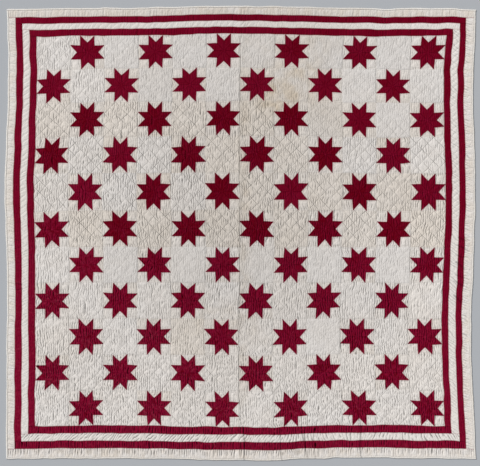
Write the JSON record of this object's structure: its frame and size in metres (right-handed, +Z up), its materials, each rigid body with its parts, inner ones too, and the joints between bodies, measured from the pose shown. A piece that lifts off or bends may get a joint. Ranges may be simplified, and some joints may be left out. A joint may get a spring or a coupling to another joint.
{
  "type": "star quilt blanket",
  "caption": "Pieced and quilted cotton bed cover lying flat, with red star blocks and plain blocks in turn inside red and white borders and a narrow binding.",
  "frame": {"origin": "on the surface that the quilt lies on, under the middle of its outline's box", "axes": "+X to the right along the rows of blocks, seen from above with the top edge away; +Y towards the top edge; +Z up, out of the quilted face"},
  "size_m": [2.1064, 2.0326, 0.0059],
  "materials": {
    "white_cotton": "soft matte plain-woven cotton, warm white, washed and a little yellowed in places",
    "red_cotton": "soft matte plain-woven cotton, deep crimson, faded a little pinker towards the bottom",
    "binding_cotton": "soft matte plain-woven cotton, pale, folded over the edge"
  },
  "bodies": {
    "root": {"field": "white_cotton", "red_inner_left": "red_cotton", "red_inner_right": "red_cotton", "red_inner_top": "red_cotton", "red_inner_bottom": "red_cotton", "white_middle_left": "white_cotton", "white_middle_right": "white_cotton", "white_middle_top": "white_cotton", "white_middle_bottom": "white_cotton", "red_outer_left": "red_cotton", "red_outer_right": "red_cotton", "red_outer_top": "red_cotton", "red_outer_bottom": "red_cotton", "white_outer_left": "white_cotton", "white_outer_right": "white_cotton", "white_outer_top": "white_cotton", "white_outer_bottom": "white_cotton", "binding_left": "binding_cotton", "binding_right": "binding_cotton", "binding_top": "binding_cotton", "binding_bottom": "binding_cotton"}
  },
  "joints": []
}
